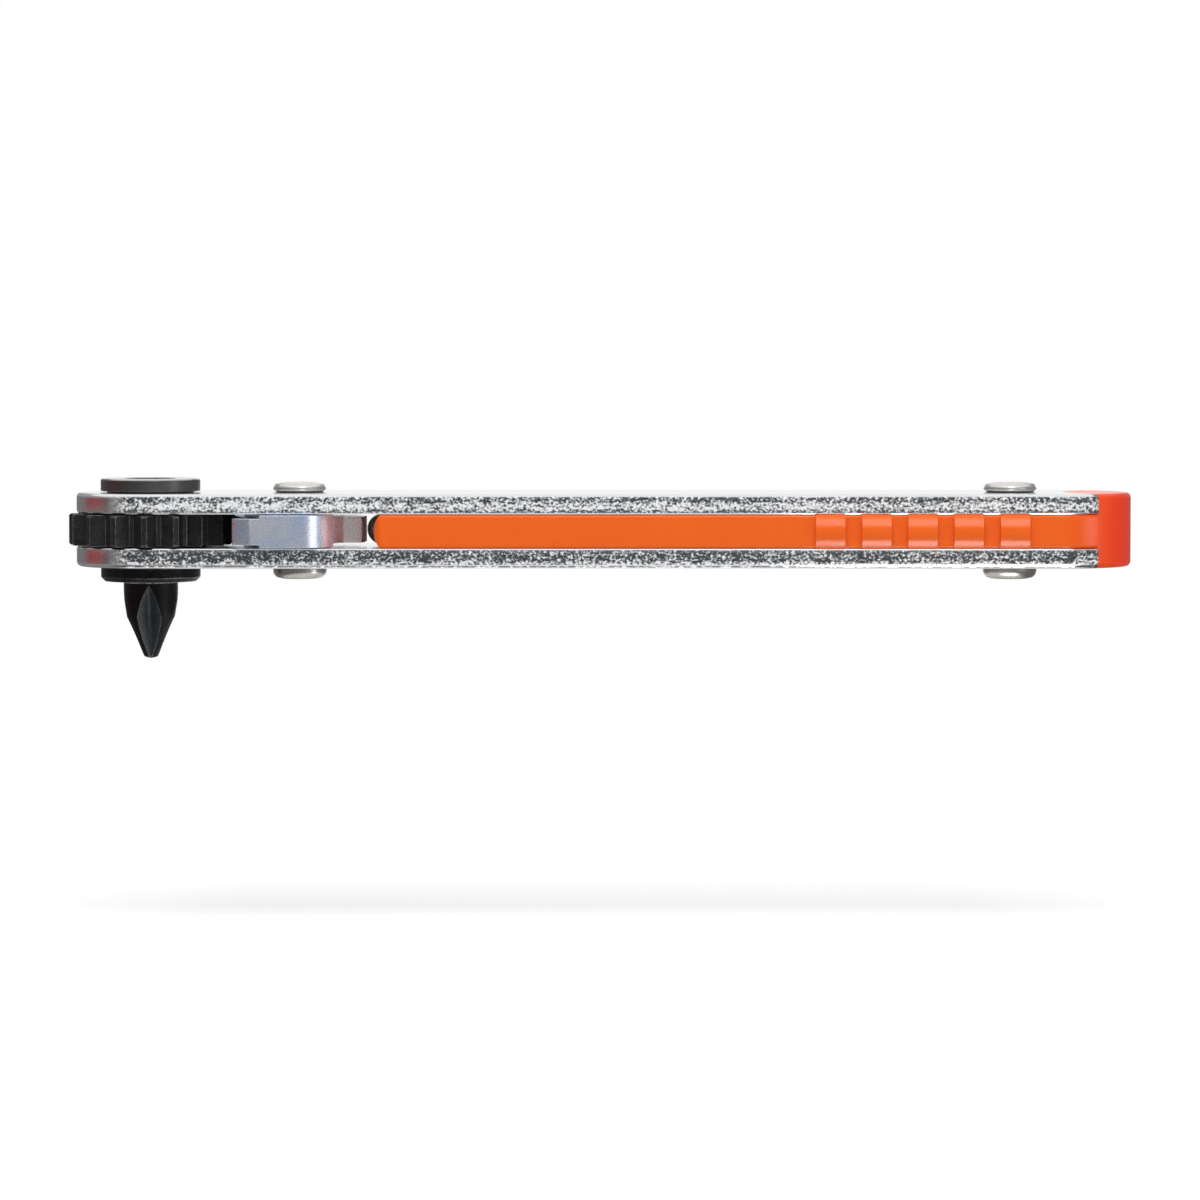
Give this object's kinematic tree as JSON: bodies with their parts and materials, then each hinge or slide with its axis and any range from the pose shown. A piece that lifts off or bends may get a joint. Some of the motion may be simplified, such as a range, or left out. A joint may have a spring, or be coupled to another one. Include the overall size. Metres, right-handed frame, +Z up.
{
  "type": "ratcheting screwdriver",
  "caption": "Slim offset ratcheting screwdriver: two riveted steel plates over an orange ribbed grip, a toothed ratchet wheel holding a cross-tip bit, and a rocking direction pawl",
  "frame": {"origin": "on the drive axis, halfway between the two plates", "axes": "+X along the handle to its tail, +Z up along the drive axis, the bit points along -Z"},
  "size_m": [0.1152, 0.0181, 0.0196],
  "materials": {
    "plated_steel": "bright plating with rough sheared edges",
    "orange_plastic": "glossy moulding",
    "black_steel": "black oxide",
    "collar_steel": "dark turned steel",
    "bit_steel": "black phosphate",
    "zinc_steel": "blue passivated zinc",
    "rivet_steel": "satin nickel",
    "ball_steel": "polished",
    "spring_steel": "drawn wire"
  },
  "bodies": {
    "handle": {"upper_plate": "plated_steel", "lower_plate": "plated_steel", "grip": "orange_plastic", "pawl_bush": "zinc_steel", "pawl_rivet": "rivet_steel", "tail_rivet": "rivet_steel", "detent_spring": "spring_steel"},
    "drive": {"ratchet_gear": "black_steel", "upper_collar": "collar_steel", "lower_collar": "black_steel", "bit_ring": "spring_steel"},
    "bit": {"driver_bit": "bit_steel"},
    "pawl": {"pawl": "zinc_steel"},
    "detent": {"detent_ball": "ball_steel"}
  },
  "joints": [
    {"name": "gear_spin", "type": "hinge", "parent": "handle", "child": "drive", "pos_m": [0, 0, 0], "axis": [0, 0, 1], "continuous": true},
    {"name": "bit_slide", "type": "slide", "parent": "drive", "child": "bit", "axis": [0, 0, -1], "range_m": [0, 0.013]},
    {"name": "pawl_swing", "type": "hinge", "parent": "handle", "child": "pawl", "pos_m": [0.0162, 0, 0], "axis": [0, 0, 1], "range_deg": [-23.3, 4.69]},
    {"name": "ball_slide", "type": "slide", "parent": "handle", "child": "detent", "axis": [1, 0, 0], "range_m": [-0.0002, 0.0005], "stiffness_N_per_m": 400, "springref_m": -0.003, "deforming": ["detent_spring"]}
  ]
}
